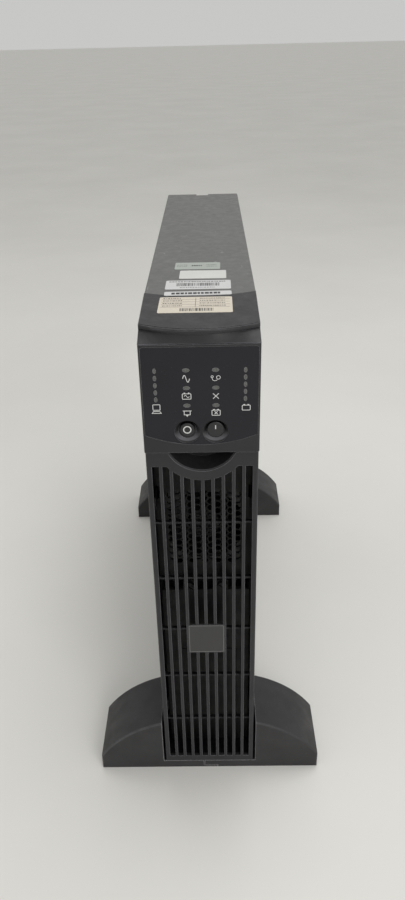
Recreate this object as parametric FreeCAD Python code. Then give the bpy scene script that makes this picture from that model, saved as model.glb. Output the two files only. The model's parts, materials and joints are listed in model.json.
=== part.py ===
import FreeCAD, Part
import math
import os

# Rack/tower uninterruptible power supply, standing as a tower in its two feet.
# Millimetres. +Z up, the front faces -Y, +X is to the right seen from the front.
# While a piece is modelled, y is its depth behind the front plane of the grille;
# save() then moves it so that the origin is under the middle of the whole object.

V = FreeCAD.Vector
X_AXIS = V(1, 0, 0)
Y_AXIS = V(0, 1, 0)
Z_AXIS = V(0, 0, 1)

# Driving dimensions: the whole tower
WIDTH = 85.0                # metal tower, left to right
HEIGHT = 432.0              # metal tower, bottom to top (a 19 inch rack width)
FOOT_BASE = 9.0             # the feet hold the tower this far above the floor
PANEL_Y = -2.0              # front of the control panel and of the bead above it
REAR_Y = 475.0              # outer face of the rear panel
REARMOST_Y = 481.0          # ends of the thumbscrews
SHEET = 1.2                 # steel sheet of the case
PLASTIC = 2.4               # wall of the front mouldings
GAP = 0.3                   # clearance between pieces that move or clip apart

BOTTOM = FOOT_BASE
TOP = FOOT_BASE + HEIGHT
HALF = WIDTH / 2
INNER = HALF - SHEET
MID_Y = (PANEL_Y + REARMOST_Y) / 2

# Front mouldings
SEAM_Y = 81.0               # where plastic meets metal at the sides
SEAM_MID_Y = 71.0           # where it meets metal in the middle of the top
BROW_Y = 12.5               # groove behind the cap's bead, at the sides
BROW_MID_Y = 0.4            # the same groove in the middle
BEAD = 2.4                  # the rounded bead in front of the groove
CAP_Z = TOP - 3.4           # underside of the bead
GROOVE = 0.6                # half width of the groove
FACE_HALF = 41.3            # half width of the front at the grille plane
BEZEL_BACK = 31.2           # rear edge of the grille bezel and control panel skirts
FRAME_FRONT = 31.5          # front edge of the fixed front frame

# Control panel
PANEL_HALF = 41.75
PANEL_LOW = 347.9
PANEL_HIGH = 430.9
SKIN_HALF = 40.1            # printed membrane
SKIN_HIGH = 429.0
SKIN_LOW_MID = 354.5        # its lower edge bulges down to this in the middle
SKIN_LOW_SIDE = 362.6
SKIN_Y = PANEL_Y + 0.55      # floor of the recess that the membrane lies in
BUTTON_Z = 366.2
DISH_Z = 364.7
DISH_R = 9.2
DISH_FLOOR_R = 6.6
DISH_DEEP = 3.0
OFF_X = -10.0
OFF_R = 5.2
ON_X = 10.2
ON_R = 6.0
BUTTON_Y = -1.3             # front of both caps; they travel 1.5 mm inwards
BOARD_Y = 12.0              # front face of the display board
COLUMN_X = 31.2             # the two columns of level lights
COLUMN_TOP_Z = 412.1
COLUMN_PITCH = 5.4
COLUMN_COUNT = 5
STATUS_X = (-9.6, 10.7)
STATUS_Z = (412.4, 399.1, 385.7)

# Grille bezel
BEZEL_HIGH = 347.2
SLOT_COUNT = 10
SLOT = 5.2
BAR = 2.49
SLOT_LOW = 15.6
SLOT_HIGH = 335.0
BAR_DEPTH = 9.0
RIB_PITCH = 55.15
RIB_LOW = 59.2
RIB_COUNT = 5
RIB = 1.5                   # height of one rib
SCOOP_Z = 358.0             # centre of the finger recess arc
SCOOP_R = 26.4
SCOOP_RIM = 35.0            # slot tops follow this arc under the recess
SCOOP_DEEP = 22.0
TAB_Z = 291.0               # snap tabs that reach through the bulkhead
BADGE_HALF = 15.5
BADGE_LOW = 149.3
BADGE_HIGH = 180.5

# Bulkhead, battery door and battery bay
BULKHEAD_Y = 34.0
HEX_FLATS = 5.0
HEX_PITCH = 6.3
HEX_LOW = 222.0
HEX_HIGH = 294.0
HEX_HALF = 31.0
DOOR_Y = 22.0
DOOR_HALF = 36.9
DOOR_HIGH = 200.0
DOOR_EAR_X = 14.0
DOOR_EAR_Z = 205.0
BLOCK_X = 70.0              # one sealed 12 V battery block
BLOCK_Y = 101.0
BLOCK_Z = 90.0
BLOCKS = 4
CARTRIDGE_Y = 42.0
LOWER_Z = 11.8
UPPER_Z = 105.5
SHELF_Z = 201.0
DIVIDER_Z = 104.0

# Electronics and fans
PCB = 1.6
BOARD_X = 37.4              # inner face of the main board
STANDOFFS = [(102, 214), (215, 214), (330, 214)]
STANDOFFS += [(y, z) for y in (102, 215, 330, 432) for z in (340, 424)]
FAN_DEEP = 25.0
INTAKE_SIZE = 70.0
INTAKE_Z = 258.0
EXHAUST_SIZE = 80.0
EXHAUST_Z = 392.0
EXHAUST_Y = REAR_Y - SHEET - FAN_DEEP

# Rear panel fittings
SLOT_CAGE = (-38.5, 4.5, 209.0, 334.0)       # x low, x high, z low, z high
CAGE_FRONT = 345.0
OUTLET_X = (-20.0, 20.0)
OUTLET_Z = (100.0, 134.0, 168.0)
INLET_X = -22.0
INLET_Z = 49.0
SERIAL_X = 24.0
SERIAL_Z = 306.0
EPO_Z = 271.0
DC_X = 24.0
DC_Z = 231.0
BREAKER_X = 20.0
BREAKER_Z = 62.0
GROUND_X = 30.0
GROUND_Z = 27.0

SIDE_SCREW_Z = (90.0, 190.0, 300.0, 400.0)   # screws that hold the cover to the rear panel
SIDE_SCREW_Y = 468.0
THUMBSCREW_X = -17.0
THUMBSCREW_Z = (205.5, 337.5)

# Feet
FOOT_HALF = 102.3           # outer end of a foot from the middle
FOOT_HIGH = 60.0            # where the arch meets the tower
FOOT_END_HIGH = 17.0        # height of the blunt outer end
FOOT_LONG = 59.0            # front to back
FOOT_INNER = 43.2           # pocket that the tower stands in
FOOT_WALL = 3.0
REAR_FOOT_Y = 421.0
LAP_LEFT = -4.6             # half-lap joint of the two halves
LAP_RIGHT = 8.1
LAP_Z = 2.0
LAP_GAP = 0.5

# Stickers on the top: x low, x high, y low, y high, skew in degrees
LABELS = [(-21.6, 16.5, 143.0, 163.5, -1.0), (-17.0, 21.0, 116.0, 139.0, -0.8),
          (-27.0, 24.0, 88.0, 111.0, -0.6), (-27.0, 24.0, 73.0, 82.5, 0.8),
          (-29.8, 23.8, 33.0, 68.5, -0.5)]
LABEL_THICK = 0.2


def box(x0, x1, y0, y1, z0, z1):
    return Part.makeBox(x1 - x0, y1 - y0, z1 - z0, V(x0, y0, z0))


def rod(radius, length, start, axis=Y_AXIS):
    return Part.makeCylinder(radius, length, start, axis)


def prism_z(points, z0, z1):
    corners = [V(x, y, z0) for x, y in points]
    wire = Part.makePolygon(corners + corners[:1])
    return Part.Face(wire).extrude(V(0, 0, z1 - z0))


def prism_y(points, y0, y1):
    corners = [V(x, y0, z) for x, z in points]
    wire = Part.makePolygon(corners + corners[:1])
    return Part.Face(wire).extrude(V(0, y1 - y0, 0))


def prism_x(points, x0, x1):
    corners = [V(x0, y, z) for y, z in points]
    wire = Part.makePolygon(corners + corners[:1])
    return Part.Face(wire).extrude(V(x1 - x0, 0, 0))


def ellipse_rod(cx, cz, half_x, half_z, y0, y1):
    if half_x >= half_z:
        curve = Part.Ellipse(V(cx + half_x, y0, cz), V(cx, y0, cz + half_z), V(cx, y0, cz))
    else:
        curve = Part.Ellipse(V(cx, y0, cz + half_z), V(cx - half_x, y0, cz), V(cx, y0, cz))
    return Part.Face(Part.Wire(curve.toShape())).extrude(V(0, y1 - y0, 0))


def round_edges(shape, radius, wanted):
    edges = [edge for edge in shape.Edges if wanted(edge)]
    return shape.makeFillet(radius, edges) if edges else shape


def upright_at(y):
    """Test for an upright edge at the given depth."""
    def wanted(edge):
        size = edge.BoundBox
        return size.ZLength > 1 and size.XLength < 0.01 and abs(size.Center.y - y) < 0.01
    return wanted


def rim_at(y):
    """Test for a circular edge across Y at the given depth."""
    def wanted(edge):
        size = edge.BoundBox
        return abs(size.Center.y - y) < 0.01 and size.XLength > 1 and size.ZLength > 1
    return wanted


def join(shapes):
    return shapes[0].fuse(shapes[1:]).removeSplitter()


def save(name, *solids):
    shape = solids[0] if len(solids) == 1 else Part.makeCompound(list(solids))
    shape.translate(V(0, -MID_Y, 0))
    shape.exportStep("parts/" + name + ".step")


def side_at(y):
    """Half width of the plastic front, which widens from the face to the metal."""
    return FACE_HALF + (HALF - FACE_HALF) * y / SEAM_Y


def tapered(y0, y1, z0, z1, inset=0.0):
    front = side_at(y0) - inset
    rear = side_at(y1) - inset
    return prism_z([(-front, y0), (front, y0), (rear, y1), (-rear, y1)], z0, z1)


# ---- case ----

def seam_tool(extra, z0, z1):
    """Everything in front of the arched seam on the top, plus extra."""
    left = V(-HALF, SEAM_Y + extra, z0)
    right = V(HALF, SEAM_Y + extra, z0)
    arc = Part.Arc(left, V(0, SEAM_MID_Y + extra, z0), right)
    sides = Part.makePolygon([right, V(HALF, -10, z0), V(-HALF, -10, z0), left])
    wire = Part.Wire([arc.toShape()] + sides.Edges)
    return Part.Face(wire).extrude(V(0, 0, z1 - z0))


def outer_cover():
    outside = box(-HALF, HALF, SEAM_MID_Y, REAR_Y, BOTTOM, TOP)
    outside = round_edges(outside, 1.5, lambda e: e.BoundBox.YLength > 100)
    inside = box(-INNER, HALF + 1, SEAM_MID_Y - 1, REAR_Y + 1, BOTTOM + SHEET, TOP - SHEET)
    cover = outside.cut(inside)
    cover = cover.cut(seam_tool(GAP, TOP - SHEET - 0.1, TOP + 1))
    cover = cover.cut(box(-HALF - 1, HALF + 1, 0, SEAM_Y + GAP, BOTTOM - 1, TOP - SHEET))
    notch = box(-7.7, 6.7, REAR_Y - 8, REAR_Y + 1, TOP - SHEET - 0.1, TOP + 1)
    screw_holes = [rod(1.6, 3, V(-HALF - 1, SIDE_SCREW_Y, z), X_AXIS) for z in SIDE_SCREW_Z]
    return cover.cut([notch] + screw_holes)


def chassis_tray():
    wall = box(INNER, HALF, SEAM_Y + GAP, REAR_Y - SHEET, BOTTOM + SHEET, TOP - SHEET)
    top_flange = box(INNER - 14, INNER, 88, REAR_Y - SHEET, TOP - 2 * SHEET, TOP - SHEET)
    low_flange = box(INNER - 3.5, INNER, 88, REAR_Y - SHEET, BOTTOM + SHEET, BOTTOM + 2 * SHEET)
    holes = [rod(1.3, 3, V(INNER - 1, y, z), X_AXIS) for y, z in STANDOFFS]
    return join([wall, top_flange, low_flange]).cut(holes)


def rear_panel():
    panel = box(-INNER, INNER, REAR_Y - SHEET, REAR_Y, BOTTOM + SHEET, TOP - SHEET)
    left_return = box(-INNER, -INNER + SHEET, REAR_Y - 13, REAR_Y - SHEET, BOTTOM + SHEET, TOP - SHEET)
    y0 = REAR_Y - 15
    cage_x0, cage_x1, cage_z0, cage_z1 = SLOT_CAGE
    cuts = [rod(37.0, 20, V(0, y0, EXHAUST_Z))]
    cuts.append(box(cage_x0 + 1, cage_x1 - 1, y0, REAR_Y + 1, cage_z0 + 1, cage_z1 - 1))
    cuts.append(box(SERIAL_X - 6, SERIAL_X + 6, y0, REAR_Y + 1, SERIAL_Z - 15, SERIAL_Z + 15))
    cuts.append(box(SERIAL_X - 6, SERIAL_X + 6, y0, REAR_Y + 1, EPO_Z - 9, EPO_Z + 9))
    cuts.append(box(DC_X - 10, DC_X + 10, y0, REAR_Y + 1, DC_Z - 19, DC_Z + 19))
    cuts.append(box(INLET_X - 12, INLET_X + 12, y0, REAR_Y + 1, INLET_Z - 18, INLET_Z + 18))
    for x in OUTLET_X:
        for z in OUTLET_Z:
            cuts.append(box(x - 13.5, x + 13.5, y0, REAR_Y + 1, z - 11, z + 11))
    cuts.append(rod(6.0, 20, V(BREAKER_X, y0, BREAKER_Z)))
    cuts.append(rod(2.1, 20, V(GROUND_X, y0, GROUND_Z)))
    for z in THUMBSCREW_Z:
        cuts.append(rod(1.5 + GAP, 20, V(THUMBSCREW_X, y0, z)))
    for z in SIDE_SCREW_Z:
        cuts.append(rod(1.5, 3, V(-HALF, SIDE_SCREW_Y, z), X_AXIS))
    for x, z in fan_corners(EXHAUST_SIZE, EXHAUST_Z):
        cuts.append(rod(1.6, 20, V(x, y0, z)))
    return panel.fuse(left_return).removeSplitter().cut(cuts)


def cover_screws():
    screws = []
    for z in SIDE_SCREW_Z:
        head = rod(3.0, 1.4, V(-HALF - 1.4, SIDE_SCREW_Y, z), X_AXIS)
        head = round_edges(head, 0.7, lambda e: abs(e.BoundBox.Center.x + HALF + 1.4) < 0.01)
        shank = rod(1.5, 3.4, V(-HALF, SIDE_SCREW_Y, z), X_AXIS)
        screws.append(head.fuse(shank))
    return screws


# ---- front mouldings ----

def cap_wire(side_half, side_y, mid_y, z):
    """Plan of the cap: front edge an arc from side to side, or straight if mid_y is side_y."""
    left = V(-side_half, side_y, z)
    right = V(side_half, side_y, z)
    if mid_y == side_y:
        front = Part.LineSegment(left, right)
    else:
        front = Part.Arc(left, V(0, mid_y, z), right)
    rest = Part.makePolygon([right, V(HALF, SEAM_Y, z), V(-HALF, SEAM_Y, z), left])
    return Part.Wire([front.toShape()] + rest.Edges)


def cap_block(offset, z0, z1):
    wire = cap_wire(side_at(BROW_Y), BROW_Y + offset, BROW_MID_Y + offset, z0)
    return Part.Face(wire).extrude(V(0, 0, z1 - z0))


def frame_cap(void):
    """Top cap with its rounded bead, and the groove behind the bead."""
    cap = cap_block(-BEAD, CAP_Z, TOP).common(seam_tool(0, CAP_Z - 1, TOP + 1))
    cap = round_edges(cap, 1.2, lambda e: e.BoundBox.ZLength < 0.01 and e.BoundBox.YMax < BROW_Y + 0.1)
    groove = cap_block(-GROOVE, TOP - 2.0, TOP + 1).cut(cap_block(GROOVE, TOP - 2.1, TOP + 2))
    groove = groove.common(box(-41, 41, BROW_MID_Y - 5, BROW_Y + 5, TOP - 2, TOP + 2))
    return cap.cut([void, groove])


def frame_visor(void):
    """Sloping face from the top of the control panel up to the bead."""
    low = cap_wire(PANEL_HALF, PANEL_Y + 0.3, PANEL_Y + 0.3, PANEL_HIGH + GAP)
    high = cap_wire(side_at(BROW_Y) - 0.05, BROW_Y - 0.8, BROW_MID_Y - 0.8, CAP_Z + 0.5)
    visor = Part.makeLoft([low, high], True, True)
    behind = box(-50, 50, FRAME_FRONT + 2, SEAM_Y + 10, PANEL_LOW, TOP + 10)
    return visor.cut(behind).cut(void)


def front_frame():
    """Fixed plastic frame: a ring behind the bezel, a lip inside the case, the visor and the cap."""
    void = box(-39.3, 39.3, BROW_Y + 4, SEAM_Y + 7, BOTTOM + PLASTIC, TOP - 2.6)
    ring = tapered(FRAME_FRONT, SEAM_Y, BOTTOM, TOP - SHEET - 0.2).cut(void)
    lip = box(-INNER + 0.2, INNER - 0.2, SEAM_Y - 1, SEAM_Y + 6, BOTTOM + SHEET + 0.2, TOP - SHEET - 0.2)
    body = join([ring, lip.cut(void)])
    body = join([body, frame_visor(void)])
    return join([body, frame_cap(void)])


def grille_slots():
    pitch = SLOT + BAR
    first = -(SLOT_COUNT * SLOT + (SLOT_COUNT - 1) * BAR) / 2
    starts = [first + i * pitch for i in range(SLOT_COUNT)]
    cuts = [box(x, x + SLOT, -1, 4, SLOT_LOW, SLOT_HIGH) for x in starts]
    rim = rod(SCOOP_RIM, 6, V(0, -1.5, SCOOP_Z))
    return [cut.cut(rim) for cut in cuts]


def grille_bars():
    pitch = SLOT + BAR
    first = -(SLOT_COUNT * SLOT + (SLOT_COUNT - 1) * BAR) / 2 + SLOT
    rim = rod(SCOOP_RIM - 1.5, 12, V(0, 0, SCOOP_Z))
    bars = []
    for i in range(SLOT_COUNT - 1):
        x = first + i * pitch
        bars.append(box(x, x + BAR, 1.5, BAR_DEPTH, SLOT_LOW - 1.5, SLOT_HIGH + 1.5).cut(rim))
    return bars


def grille_bezel():
    shell = tapered(0, BEZEL_BACK, BOTTOM + GAP, BEZEL_HIGH)
    shell = round_edges(shell, 1.4, upright_at(0))
    void = box(-39.2, 39.2, 3.2, BEZEL_BACK + 1, BOTTOM + PLASTIC, BEZEL_HIGH - PLASTIC)
    shell = shell.cut([void] + grille_slots())
    rib_heights = [RIB_LOW + i * RIB_PITCH for i in range(RIB_COUNT)]
    ribs = [box(-39.6, 39.6, 7.0, 10.5, z - RIB / 2, z + RIB / 2) for z in rib_heights]
    scoop = rod(SCOOP_R + 2.2, SCOOP_DEEP + 2, V(0, 0, SCOOP_Z))
    scoop = scoop.common(box(-60, 60, -1, 60, 0, BEZEL_HIGH))
    tabs = []
    for z, tip_y in ((66.0, BULKHEAD_Y - 0.3), (TAB_Z, BULKHEAD_Y + 4)):
        root = box(37.3, 39.4, 16, BEZEL_BACK, z - 6, z + 6)
        tab = root.fuse(box(37.3, 38.9, BEZEL_BACK - 1, tip_y, z - 5, z + 5))
        tabs += [tab, tab.mirror(V(0, 0, 0), X_AXIS)]
    bezel = join([shell] + grille_bars() + ribs + [scoop] + tabs)
    corner = [(-0.01, BEZEL_HIGH - 0.9), (-1, BEZEL_HIGH + 1), (0.9, BEZEL_HIGH + 0.01)]
    top_chamfer = prism_x(corner, -50, 50)
    hollow = rod(SCOOP_R, SCOOP_DEEP + 1, V(0, -1, SCOOP_Z))
    lead_in = Part.makeCone(SCOOP_R + 1.0, SCOOP_R, 1.0, V(0, -0.001, SCOOP_Z), Y_AXIS)
    badge_seat = box(-BADGE_HALF - 0.1, BADGE_HALF + 0.1, -1, 1, BADGE_LOW - 0.1, BADGE_HIGH + 0.1)
    return bezel.cut([hollow, lead_in, badge_seat, top_chamfer])


def badge_plate():
    plate = box(-BADGE_HALF, BADGE_HALF, -0.4, 1.0, BADGE_LOW, BADGE_HIGH)
    return round_edges(plate, 0.8, lambda e: e.BoundBox.YLength > 1)


# ---- control panel ----

def skin_outline(inset, y0, y1):
    """The membrane: straight top and sides, lower edge an arc that bulges down."""
    half = SKIN_HALF - inset
    low = SKIN_LOW_SIDE + inset
    arc = Part.Arc(V(-half, y0, low), V(0, y0, SKIN_LOW_MID + inset), V(half, y0, low))
    high = SKIN_HIGH - inset
    rest = Part.makePolygon([V(half, y0, low), V(half, y0, high), V(-half, y0, high), V(-half, y0, low)])
    skin = Part.Face(Part.Wire([arc.toShape()] + rest.Edges)).extrude(V(0, y1 - y0, 0))
    top_corners = [e for e in skin.Edges if e.BoundBox.YLength > 0.1 and e.BoundBox.Center.z > high - 1]
    return skin.makeFillet(1.5, top_corners)


def column_lights(grow, y0, y1):
    lights = []
    for side in (-1, 1):
        for i in range(COLUMN_COUNT):
            z = COLUMN_TOP_Z - i * COLUMN_PITCH
            lights.append(ellipse_rod(side * COLUMN_X, z, 0.85 + grow, 1.6 + grow, y0, y1))
    return lights


def status_lights(grow, y0, y1):
    return [ellipse_rod(x, z, 2.1 + grow, 1.1 + grow, y0, y1) for x in STATUS_X for z in STATUS_Z]


def light_holes():
    return column_lights(0.1, -3, 5) + status_lights(0.1, -3, 5)


BOARD_SCREWS = [(x, z) for x in (-33.5, 33.5) for z in (357.5, 422.5)]


def control_panel_housing():
    block = box(-PANEL_HALF, PANEL_HALF, PANEL_Y, BEZEL_BACK, PANEL_LOW, PANEL_HIGH)
    block = round_edges(block, 1.6, upright_at(PANEL_Y))
    front_void = box(-39.4, 39.4, 3, 29, PANEL_LOW + PLASTIC, PANEL_HIGH - PLASTIC)
    plug = box(-38.8, 38.8, BEZEL_BACK - 1, 58, PANEL_LOW + 3, PANEL_HIGH - 3)
    rear_void = box(-36.8, 36.8, 28, 60, PANEL_LOW + 5, PANEL_HIGH - 5)
    bosses = [rod(2.6, BOARD_Y - 2.5, V(x, 2.5, z)) for x, z in BOARD_SCREWS]
    housing = join([block.cut(front_void), plug]).cut([rear_void, front_void])
    housing = join([housing] + bosses)
    cuts = [skin_outline(-0.1, PANEL_Y - 1, SKIN_Y)] + light_holes()
    for x, radius in ((OFF_X, OFF_R), (ON_X, ON_R)):
        cuts.append(Part.makeCone(DISH_R, DISH_FLOOR_R, DISH_DEEP, V(x, SKIN_Y - 0.001, DISH_Z), Y_AXIS))
        cuts.append(rod(radius + 0.3, 9, V(x, -3, BUTTON_Z)))
    cuts += [rod(1.2, 8, V(x, BOARD_Y - 7, z)) for x, z in BOARD_SCREWS]
    return housing.cut(cuts)


def panel_membrane():
    skin = skin_outline(0, PANEL_Y + 0.05, SKIN_Y)
    dishes = [rod(DISH_R, 3, V(x, -3, DISH_Z)) for x in (OFF_X, ON_X)]
    return skin.cut(dishes + light_holes())


def button(x, radius):
    cap = rod(radius, 3.6 - BUTTON_Y, V(x, BUTTON_Y, BUTTON_Z))
    cap = round_edges(cap, 0.8, rim_at(BUTTON_Y))
    collar = rod(radius + 1.2, 1.2, V(x, 3.3, BUTTON_Z))
    stem = rod(1.8, 4.5, V(x, 4.2, BUTTON_Z))
    return join([cap, collar, stem])


def display_board():
    board = box(-37, 37, BOARD_Y, BOARD_Y + PCB, PANEL_LOW + 4.6, PANEL_HIGH - 4.6)
    holes = [rod(1.4, 4, V(x, BOARD_Y - 1, z)) for x, z in BOARD_SCREWS]
    header = box(-12, 12, BOARD_Y + PCB, BOARD_Y + PCB + 6, 375, 381)
    return board.cut(holes).fuse(header)


def board_screws():
    screws = []
    for x, z in BOARD_SCREWS:
        head = rod(2.4, 1.8, V(x, BOARD_Y + PCB, z))
        shank = rod(1.2, 6.0, V(x, BOARD_Y + PCB - 6.0, z))
        screws.append(head.fuse(shank))
    return screws


def panel_switches():
    switches = []
    for x in (OFF_X, ON_X):
        body = box(x - 3, x + 3, BOARD_Y - 1.0, BOARD_Y, BUTTON_Z - 3, BUTTON_Z + 3)
        switches.append(body.fuse(rod(1.4, 0.6, V(x, BOARD_Y - 1.6, BUTTON_Z))))
    return switches


# ---- bulkhead, door, batteries ----

def hexagon(cx, cz):
    radius = HEX_FLATS / math.sqrt(3)
    corners = [(cx + radius * math.cos(math.radians(a)), cz + radius * math.sin(math.radians(a)))
               for a in range(0, 360, 60)]
    return prism_y(corners, BULKHEAD_Y - 1, BULKHEAD_Y + 3)


def front_bulkhead():
    plate = box(-39.2, 39.2, BULKHEAD_Y, BULKHEAD_Y + SHEET, BOTTOM + PLASTIC + 0.1, 344)
    bay = box(-36.8, 36.8, BULKHEAD_Y - 1, BULKHEAD_Y + 3, LOWER_Z - 0.2, SHELF_Z)
    column_step = HEX_PITCH * math.sqrt(3) / 2
    columns = int(HEX_HALF / column_step)
    holes = []
    for column in range(-columns, columns + 1):
        start = HEX_LOW + (HEX_PITCH / 2 if column % 2 else 0)
        rows = int((HEX_HIGH - start) / HEX_PITCH) + 1
        holes += [hexagon(column * column_step, start + row * HEX_PITCH) for row in range(rows)]
    for side in (-1, 1):
        holes.append(box(side * 38 - 2, side * 38 + 2, BULKHEAD_Y - 1, BULKHEAD_Y + 3, TAB_Z - 6, TAB_Z + 6))
        holes.append(rod(1.45 + GAP, 4, V(side * DOOR_EAR_X, BULKHEAD_Y - 1, DOOR_EAR_Z)))
    return plate.cut([bay] + holes)


def battery_door():
    half = DOOR_HALF
    skin = box(-half, half, DOOR_Y, BULKHEAD_Y - GAP, LOWER_Z + 1, DOOR_HIGH)
    room = half - SHEET
    cuts = [box(-room, room, DOOR_Y + SHEET, BULKHEAD_Y, LOWER_Z, DOOR_HIGH - SHEET)]
    cuts.append(box(-room, room, DOOR_Y + 4, BULKHEAD_Y, DOOR_HIGH - 5, DOOR_HIGH + 1))
    cuts.append(box(-10, 10, DOOR_Y + SHEET, BULKHEAD_Y, DOOR_HIGH - 5, DOOR_HIGH + 1))
    skin = skin.cut(cuts)
    ears = [box(x - 5, x + 5, DOOR_Y, DOOR_Y + SHEET, DOOR_HIGH - 1, DOOR_EAR_Z + 5)
            for x in (-DOOR_EAR_X, DOOR_EAR_X)]
    holes = [rod(2.2, 4, V(x, DOOR_Y - 1, DOOR_EAR_Z)) for x in (-DOOR_EAR_X, DOOR_EAR_X)]
    swage = box(-26, 26, DOOR_Y - 1.0, DOOR_Y + 0.2, 40, 132)
    swage = round_edges(swage, 0.6, lambda e: abs(e.BoundBox.Center.y - DOOR_Y + 1.0) < 0.01)
    return join([skin] + ears + [swage]).cut(holes)


def door_screws():
    screws = []
    for x in (-DOOR_EAR_X, DOOR_EAR_X):
        head = rod(4.2, 3.0, V(x, DOOR_Y - 3.0, DOOR_EAR_Z))
        slot = box(x - 5, x + 5, DOOR_Y - 3.5, DOOR_Y - 2.0, DOOR_EAR_Z - 0.6, DOOR_EAR_Z + 0.6)
        slot.rotate(V(x, 0, DOOR_EAR_Z), Y_AXIS, 35)
        sleeve = rod(2.1, BULKHEAD_Y - GAP - DOOR_Y, V(x, DOOR_Y, DOOR_EAR_Z))
        thread = rod(1.45, 3.4 + GAP, V(x, BULKHEAD_Y - GAP, DOOR_EAR_Z))
        screws.append(join([head.cut(slot), sleeve, thread]))
    return screws


def cartridge_tray(z):
    half = BLOCK_X / 2 + SHEET
    y1 = CARTRIDGE_Y + 2 * SHEET + BLOCKS * BLOCK_Y
    tray = box(-half, half, CARTRIDGE_Y, y1, z, z + SHEET + 58)
    room = box(-half + SHEET, half - SHEET, CARTRIDGE_Y + SHEET, y1 - SHEET, z + SHEET, z + 90)
    low_sides = box(-half - 1, half + 1, CARTRIDGE_Y + 14, y1 - 14, z + SHEET + 18, z + 90)
    return tray.cut([room, low_sides])


def cartridge_blocks(z):
    """Sealed battery blocks, each with a shallow rim and two spade terminals."""
    blocks = []
    low = z + SHEET
    for i in range(BLOCKS):
        y0 = CARTRIDGE_Y + SHEET + i * BLOCK_Y
        high = low + BLOCK_Z
        half = BLOCK_X / 2
        case = box(-half, half, y0, y0 + BLOCK_Y, low, high - 4)
        lid = box(-half + 0.8, half - 0.8, y0 + 0.8, y0 + BLOCK_Y - 0.8, high - 4, high)
        wells = [box(x - 6, x + 6, y0 + 6, y0 + 20, high - 3, high + 1) for x in (-24, 24)]
        blades = [box(x - 3.2, x + 3.2, y0 + 12, y0 + 12.8, high - 3, high - 0.2) for x in (-24, 24)]
        blocks.append(join([case, lid]).cut(wells).fuse(blades))
    return blocks


def cartridge_handle(z):
    """A moulded loop handle on the cartridge's front wall."""
    y0 = CARTRIDGE_Y - 14
    bar = box(-30, 30, y0, y0 + 4, z + 34, z + 46)
    bar = round_edges(bar, 1.5, lambda e: e.BoundBox.XLength > 50)
    posts = [box(x - 3, x + 3, y0 + 2, CARTRIDGE_Y, z + 34, z + 46) for x in (-27, 27)]
    return join([bar] + posts)


def cartridge_plug(z):
    """Blind-mating plug on the cartridge's rear wall."""
    y0 = CARTRIDGE_Y + 2 * SHEET + BLOCKS * BLOCK_Y
    return box(-5, 5, y0, y0 + 3, z + 30, z + 54)


def battery_sockets():
    y0 = CARTRIDGE_Y + 2 * SHEET + BLOCKS * BLOCK_Y + 3.4
    return [box(-5.5, 5.5, y0, y0 + 14, z + 28, z + 56) for z in (LOWER_Z, UPPER_Z)]


def bay_shelves():
    shelf = box(-INNER, INNER, SEAM_Y + 8, REAR_Y - 14, SHELF_Z, SHELF_Z + SHEET)
    divider = box(-INNER, INNER, SEAM_Y + 8, 447, DIVIDER_Z, DIVIDER_Z + SHEET)
    runners = [box(x - 3, x + 3, SEAM_Y + 8, 447, BOTTOM + SHEET, LOWER_Z - GAP) for x in (-32, 32)]
    return [shelf, divider] + runners


# ---- fans ----

def fan_corners(size, z):
    offset = size / 2 - 4.3
    return [(x, z + dz) for x in (-offset, offset) for dz in (-offset, offset)]


def fan_frame(size, y0, z):
    half = size / 2
    frame = box(-half, half, y0, y0 + FAN_DEEP, z - half, z + half)
    frame = round_edges(frame, 3.5, lambda e: e.BoundBox.YLength > 20)
    bore = rod(half - 1.6, FAN_DEEP + 2, V(0, y0 - 1, z))
    waist = box(-half - 1, half + 1, y0 + 4, y0 + FAN_DEEP - 4, z - half - 1, z + half + 1)
    waist = waist.cut(rod(half - 0.4, FAN_DEEP, V(0, y0, z)))
    holes = [rod(2.1, FAN_DEEP + 2, V(x, y0 - 1, cz)) for x, cz in fan_corners(size, z)]
    frame = frame.cut([bore, waist] + holes)
    hub = rod(size * 0.2, 3.0, V(0, y0 + FAN_DEEP - 3.0, z))
    struts = []
    for angle in (45, 135, 225, 315):
        strut = box(size * 0.19, half - 1.0, y0 + FAN_DEEP - 3.0, y0 + FAN_DEEP, z - 1.5, z + 1.5)
        strut.rotate(V(0, 0, z), Y_AXIS, angle)
        struts.append(strut)
    bearing = rod(1.56, 4.0, V(0, y0 + FAN_DEEP - 3.5, z))
    return join([frame, hub] + struts).cut(bearing)


def fan_rotor(size, y0, z):
    hub_r = size * 0.2
    hub_y0 = y0 + 2.0
    hub = rod(hub_r, FAN_DEEP - 5.4, V(0, hub_y0, z))
    hub = round_edges(hub, 2.0, rim_at(hub_y0))
    blades = []
    for i in range(7):
        blade = box(hub_r - 1.5, size / 2 - 3.2, y0 + 11.3, y0 + 12.9, z - 9.5, z + 9.5)
        blade.rotate(V(0, y0 + 12.1, z), X_AXIS, 32)
        blade.rotate(V(0, 0, z), Y_AXIS, i * 360 / 7)
        blades.append(blade)
    shaft = rod(1.5, 3.0, V(0, y0 + FAN_DEEP - 4.0, z))
    return join([hub] + blades + [shaft])


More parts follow.
